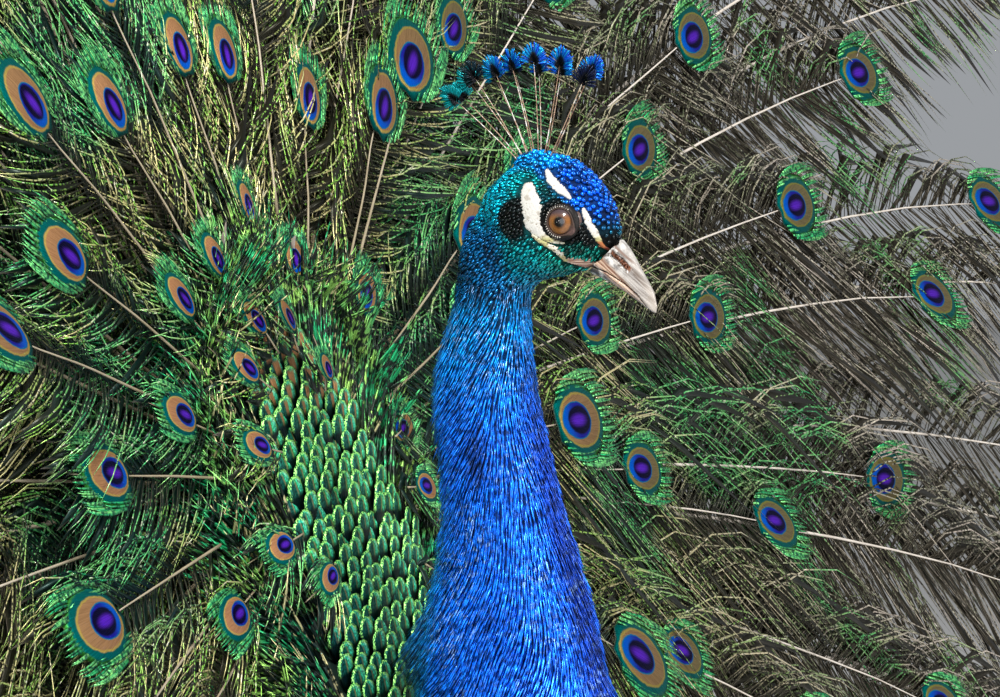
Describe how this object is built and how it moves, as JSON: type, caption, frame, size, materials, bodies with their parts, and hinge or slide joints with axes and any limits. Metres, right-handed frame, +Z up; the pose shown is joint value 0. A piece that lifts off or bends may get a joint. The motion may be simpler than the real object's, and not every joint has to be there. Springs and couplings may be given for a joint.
{
  "type": "peacock",
  "caption": "Life-size still model of a peacock standing with its train raised in a full fan, head turned level and bill lowered.",
  "frame": {"origin": "on the floor, under the middle of the bird's bounding box, train included", "axes": "+Z up, -Y the way the bird faces, +X its left side"},
  "size_m": [2.3812, 0.5894, 1.7675],
  "materials": {
    "blue_plumage": "short glossy body feathers of head, neck and breast, peacock blue with a turquoise sheen",
    "crest_plumage": "bare pale shafts with small fan-shaped blue-green tips",
    "train_plumage": "loose bronze-green and gold train feathers with blue and copper eyes, emerald scale feathers in front",
    "tail_plumage": "matt grey-brown tail feathers",
    "wing_plumage": "barred buff and black coverts, blue-black secondaries and chestnut primaries",
    "thigh_plumage": "soft buff-brown feathers",
    "eye": "wet gloss, amber-brown iris and black pupil",
    "bill_horn": "satin horn, off-white to grey-brown",
    "leg_skin": "satin scuted skin, grey-brown",
    "claw_horn": "satin dark horn"
  },
  "bodies": {
    "root": {"head": "blue_plumage", "eye_left": "eye", "eye_right": "eye", "beak_upper": "bill_horn", "beak_lower": "bill_horn", "crest": "crest_plumage", "neck": "blue_plumage", "torso": "blue_plumage", "train_middle": "train_plumage", "train_left": "train_plumage", "train_right": "train_plumage", "tail": "tail_plumage", "wing_left": "wing_plumage", "wing_right": "wing_plumage", "thigh_left": "thigh_plumage", "shank_left": "leg_skin", "foot_left": "leg_skin", "spur_left": "claw_horn", "claw_middle_left": "claw_horn", "claw_inner_left": "claw_horn", "claw_outer_left": "claw_horn", "claw_hallux_left": "claw_horn", "thigh_right": "thigh_plumage", "shank_right": "leg_skin", "foot_right": "leg_skin", "spur_right": "claw_horn", "claw_middle_right": "claw_horn", "claw_inner_right": "claw_horn", "claw_outer_right": "claw_horn", "claw_hallux_right": "claw_horn"}
  },
  "joints": []
}
